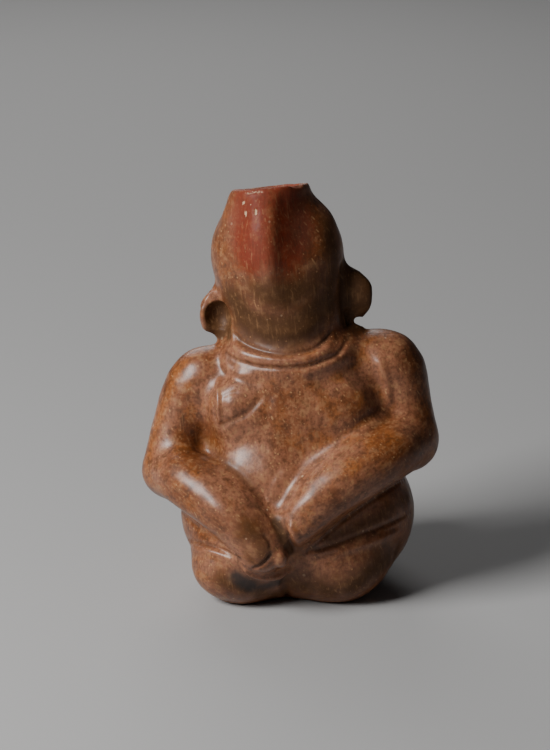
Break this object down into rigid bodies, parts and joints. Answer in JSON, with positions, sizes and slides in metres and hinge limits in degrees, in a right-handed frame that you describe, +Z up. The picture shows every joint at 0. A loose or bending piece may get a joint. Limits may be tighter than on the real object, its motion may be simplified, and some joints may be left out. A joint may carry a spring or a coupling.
{
  "type": "effigy vessel",
  "caption": "Hollow fired-clay effigy vessel: a seated figure with its forearms folded behind its back and a pouring mouth on top of its head.",
  "frame": {"origin": "on the flat underside, below the middle of the belly", "axes": "+Z up through the figure; the figure faces -Y, so its back is towards +Y and its left side towards +X"},
  "size_m": [0.1702, 0.1522, 0.24],
  "materials": {
    "fired_clay": "burnished red-brown, unglazed"
  },
  "bodies": {
    "root": {"vessel": "fired_clay"}
  },
  "joints": []
}
